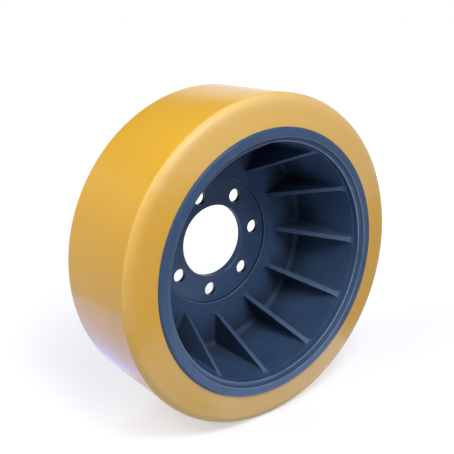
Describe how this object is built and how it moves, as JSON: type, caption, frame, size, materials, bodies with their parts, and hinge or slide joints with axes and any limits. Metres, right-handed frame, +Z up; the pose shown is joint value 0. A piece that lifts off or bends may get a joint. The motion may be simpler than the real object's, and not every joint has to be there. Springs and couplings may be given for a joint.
{
  "type": "drive wheel",
  "caption": "Bolt-on drive wheel: a dished, ribbed iron casting with a pilot bore and a circle of bolt holes, tyred with a bonded polyurethane tread.",
  "frame": {"origin": "centre of the wheel, on its axis, half way between the two ring faces of the casting", "axes": "+Y along the axle from the open dish towards the bolt side, +Z up, +X across; the open dish looks towards -Y"},
  "size_m": [0.343, 0.126, 0.343],
  "materials": {
    "wheel_body": "satin",
    "tread": "satin"
  },
  "bodies": {
    "root": {"wheel_body": "wheel_body", "tread": "tread"}
  },
  "joints": []
}
